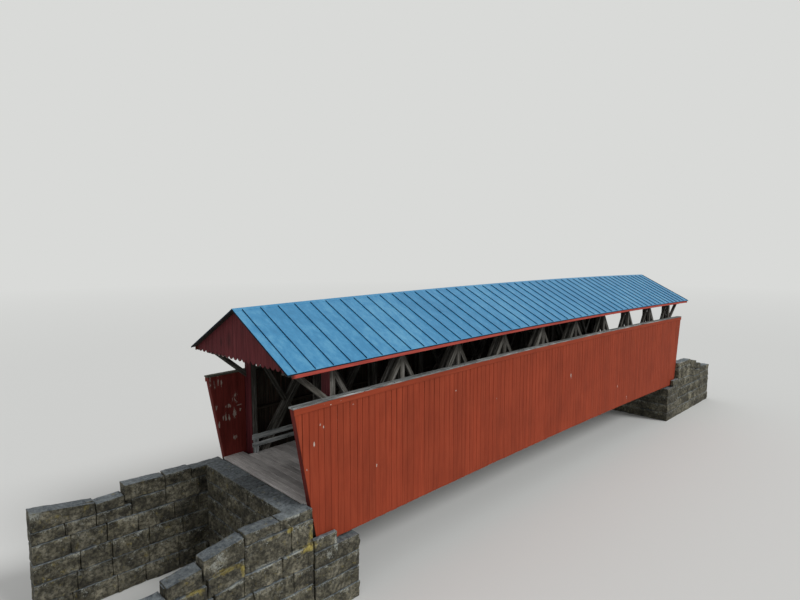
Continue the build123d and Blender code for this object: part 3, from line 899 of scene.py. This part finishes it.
# Widths of the boards from the near end on, as measured; the rest are drawn by lot.
near_widths = (0.27, 0.23, 0.31, 0.21, 0.23, 0.25, 0.22, 0.25, 0.28, 0.21, 0.26, 0.25, 0.20, 0.26,
               0.24, 0.24, 0.26, 0.22, 0.31, 0.26)


def upright_boards(bm, first, last, narrow, wide, uneven, shrunk, widths=()):
    """Boards side by side between two corners, each with its width and set-back, shrunk apart."""
    (x, y0, foot), (x1, y1, top) = first, last
    outer = max(abs(y0), abs(y1))
    widths = list(widths)
    while x < x1 - 0.01:
        stop = x + (widths.pop(0) if widths else tint.uniform(narrow, wide))
        if x1 - stop < narrow / 2:
            stop = x1
        centre = (x + stop) / 2
        back = tint.uniform(0, set_back)
        low = (x, y0 + back * (abs(y0) == outer), foot + rise(centre) + tint.uniform(0, uneven))
        high = (stop, y1 - back * (abs(y1) == outer), top + rise(centre) - 0.001)
        # How far its edges stand back: foot right, foot left, top right, top left.
        gaps = [shrunk * tint.uniform(0.3, 1) for _ in range(4)]
        for v in box(bm, low, high):
            right, up = v.co.x > centre, v.co.z > (foot + top) / 2
            apart = gaps[2 * up + (not right)] * (1 if up else swollen)
            v.co.x += -apart if right else apart
        x = stop


def cut_slant(bm, way):
    """Cuts off what stands past the slanted shelter end and closes the cut."""
    normal = Vector((way * siding_tall, 0, -slant))
    point = Vector((way * siding_end, 0, siding_top + rise(siding_end)))
    geom = bm.verts[:] + bm.edges[:] + bm.faces[:]
    cut = bmesh.ops.bisect_plane(bm, geom=geom, plane_co=point, plane_no=normal, clear_outer=True)
    bmesh.ops.edgeloop_fill(bm, edges=of_kind(bmesh.types.BMEdge, cut["geom_cut"]))


for side, out in sides.items():
    node = "siding_" + side
    low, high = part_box(node)
    wall = bmesh.new()
    upright_boards(wall, (low.x, low.y, siding_top - siding_tall), (high.x, high.y, siding_top),
                   siding_narrow, siding_wide, ragged_feet, siding_shrunk[side], near_widths)
    cut_slant(wall, -1)
    cut_slant(wall, 1)
    wear(wall, board_arris)
    mark_members(wall, (0, 0, 1))
    wall.normal_update()
    for face in wall.faces:
        face.material_index = 1 if face.normal.y * out < -0.5 else 0
    boards = piece(wall, node + "_boards", siding_red, "red_boards", node)
    boards.data.materials.append(frame_wood)
    dress("girts_" + side, frame_wood, "weathered_timber")

# Trim. A red board is nailed over the heads of the siding boards, under the cap, in lengths
# that butt together.
trim_deep = 0.170
for side in sides:
    nail_along("trim_" + side, trim_deep, siding_red)

# Cap. Bare pine planks are nailed flat on top of the siding and have gone silver grey, split and
# ragged at the edges. The left cap is darker and browner; its darkness is painted shade.
cap_thick = 0.050
cap_lengths = 7
cap_ragged = 0.012                      # how far the edges wander inward
cap_sunk = 0.003                        # and how far the planks have sunk
cap_uneven = 0.003                      # how much one plank may be thinner than the next
cap_wood = {"right": rough_timber("silvered_cap_plank", "#4c4e4d", "#858887", "#b9bcbb"),
            "left": rough_timber("olive_shaded_cap_plank", "#2f2d28", "#504e44", "#747262")}
for side, out in sides.items():
    node = "cap_" + side
    low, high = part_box(node)
    top = level(node)
    cap = bmesh.new()
    for a, b in lengths(low, high, cap_lengths):
        box(cap, (a, low.y, top - cap_thick), (b, high.y, top - tint.uniform(0, cap_uneven)))
    divide_long(cap, cuts=40)
    for v in cap.verts:
        ragged = 0.8 + noise.noise(v.co * 3) + 0.7 * noise.noise(v.co * 9)
        v.co -= Vector((0, out * cap_ragged, cap_sunk)) * ragged
    follow_camber(cap)
    wear(cap, plank_arris)
    mark_members(cap, (1, 0, 0))
    piece(cap, node + "_planks", cap_wood[side], "grey_cap", node)

# Shelter ends. Past the end posts the walls are boarded inside as well, in an older red that is
# drawn darker as painted shade, and a board closes the hollow of the wall along each slanted end.
# The near left lining is rubbed through to a pale undercoat in patches.
lining_thick = 0.025
lining_narrow, lining_wide = 0.19, 0.24
lining_uneven = 0.002
lining_shrunk = 0.003
lining_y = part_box("lining_left")[0].y
# The patches: x and the height over the road of each, then how far it reaches along and up.
rubs = [(-13.75, 1.79, 0.20, 0.13), (-13.95, 1.45, 0.06, 0.27), (-13.85, 1.40, 0.07, 0.28),
        (-13.73, 1.38, 0.07, 0.27), (-13.52, 1.45, 0.13, 0.42), (-13.50, 1.98, 0.18, 0.42),
        (-13.52, 0.60, 0.17, 0.15), (-14.11, 1.20, 0.06, 0.24), (-14.20, 1.82, 0.07, 0.26),
        (-13.32, 1.74, 0.22, 0.05), (-14.38, 2.75, 0.06, 0.38), (-14.24, 2.65, 0.05, 0.40),
        (-14.10, 2.75, 0.05, 0.33), (-13.98, 2.60, 0.05, 0.36), (-13.30, 1.55, 0.08, 0.12)]
lining_worn = [((x, lining_y, road + z + rise(x)), (wide, 0.2, tall))
               for x, z, wide, tall in rubs]
lining_red = barn_paint("barn_red_old_shaded_lining", "#65241f", "#743029", "#4e1a15", "#a3988f", 0.05,
                        lining_worn)
# The jambs are darker still, as painted shade.
jamb_red = barn_paint("barn_red_old_shaded_jamb", "#552126", "#663034", "#41171c", "#8d7c7a", 0.06)
tint.seed(41)
for side, out in sides.items():
    node = "lining_" + side
    low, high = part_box(node)
    face_y, back_y = sorted((low.y, high.y), key=abs)
    foot = road - plank_thick
    top = siding_top - 0.001
    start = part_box("jambs")[1].x + 0.005
    lining = bmesh.new()
    for way in (-1, 1):
        boards = bmesh.new()
        x0, x1 = sorted((way * start, way * high.x))
        y0, y1 = sorted((face_y, face_y + out * lining_thick))
        upright_boards(boards, (x0, y0, foot), (x1, y1, top), lining_narrow, lining_wide,
                       lining_uneven, lining_shrunk)
        cut_slant(boards, way)
        closer = box(boards, (0, min(y1, back_y), foot), (lining_thick, max(y0, back_y), top))
        for v in closer:
            v.co.x -= lining_thick if way > 0 else 0
            share = (siding_top - v.co.z) / siding_tall
            v.co.x += way * (siding_end - slant * share)
            v.co.z += rise(v.co.x)
        join(lining, boards)
    wear(lining, board_arris)
    mark_members(lining, (0, 0, 1))
    piece(lining, node + "_boards", lining_red, "red_boards", node)
dress("jambs", jamb_red, "red_boards", soften=0.004, axis=(0, 0, 1))

# Studio. A pale paper floor lies at the foot of the stone under an even sky, and one broad soft
# light comes from high on the right.
pale = "#d9dad8"
floor_reach = 400
floor_mesh = bmesh.new()
bmesh.ops.create_grid(floor_mesh, x_segments=1, y_segments=1, size=floor_reach)
mesh = bpy.data.meshes.new("floor")
floor_mesh.to_mesh(mesh)
floor_mesh.free()
floor = bpy.data.objects.new("floor", mesh)
bpy.context.scene.collection.objects.link(floor)
paper = blank("studio_floor")
place = add(paper, "TexCoord").outputs["Object"]
far = add(paper, "VectorMath", {0: place}, operation="LENGTH")
fade = add(paper, "MapRange", {0: far.outputs["Value"], 1: 45, 2: 150})
matt = add(paper, "BsdfDiffuse", {"Color": colour(pale)})
glow = add(paper, "Emission", {"Color": colour(pale), "Strength": 1.0})
seen = add(paper, "LightPath").outputs["Is Camera Ray"]
share = add(paper, "Math", {0: fade, 1: seen}, operation="MULTIPLY")
add(paper, "OutputMaterial", {"Surface": add(paper, "MixShader", {0: share, 1: matt, 2: glow})})
mesh.materials.append(paper)

sky = bpy.data.worlds.new("studio")
bpy.context.scene.world = sky
sky.use_nodes = True
sky.node_tree.nodes.clear()
soft = add(sky, "Background", {"Color": colour("#ffffff"), "Strength": 0.55})
wall = add(sky, "Background", {"Color": colour(pale), "Strength": 1.0})
seen = add(sky, "LightPath").outputs["Is Camera Ray"]
add(sky, "OutputWorld", {"Surface": add(sky, "MixShader", {0: seen, 1: soft, 2: wall})})

lamp = bpy.data.lights.new("broad_light", "SUN")
lamp.energy = 1.7
lamp.angle = math.radians(18)
light = bpy.data.objects.new("broad_light", lamp)
bpy.context.scene.collection.objects.link(light)
light.rotation_euler = Vector((-0.35, 1.0, -0.85)).to_track_quat("-Z", "Y").to_euler()

# Camera. It stands where the photograph was taken from, off the near right corner and somewhat
# higher than the ridge.
picture_wide = 800                      # pixels
focal = 554.37                          # pixels
heading = 0.8003                        # radians from +X toward +Y
dip = 0.0957                            # radians below level
standpoint = (-22.684, -15.363, 10.726)
lens = bpy.data.cameras.new("camera")
lens.sensor_width = 36
lens.lens = lens.sensor_width * focal / picture_wide
lens.clip_start = 0.1
lens.clip_end = 1000
camera = bpy.data.objects.new("camera", lens)
bpy.context.scene.collection.objects.link(camera)
camera.location = standpoint
camera.rotation_euler = (math.radians(90) - dip, 0, heading - math.radians(90))
bpy.context.scene.camera = camera
bpy.context.scene.view_settings.view_transform = "Standard"
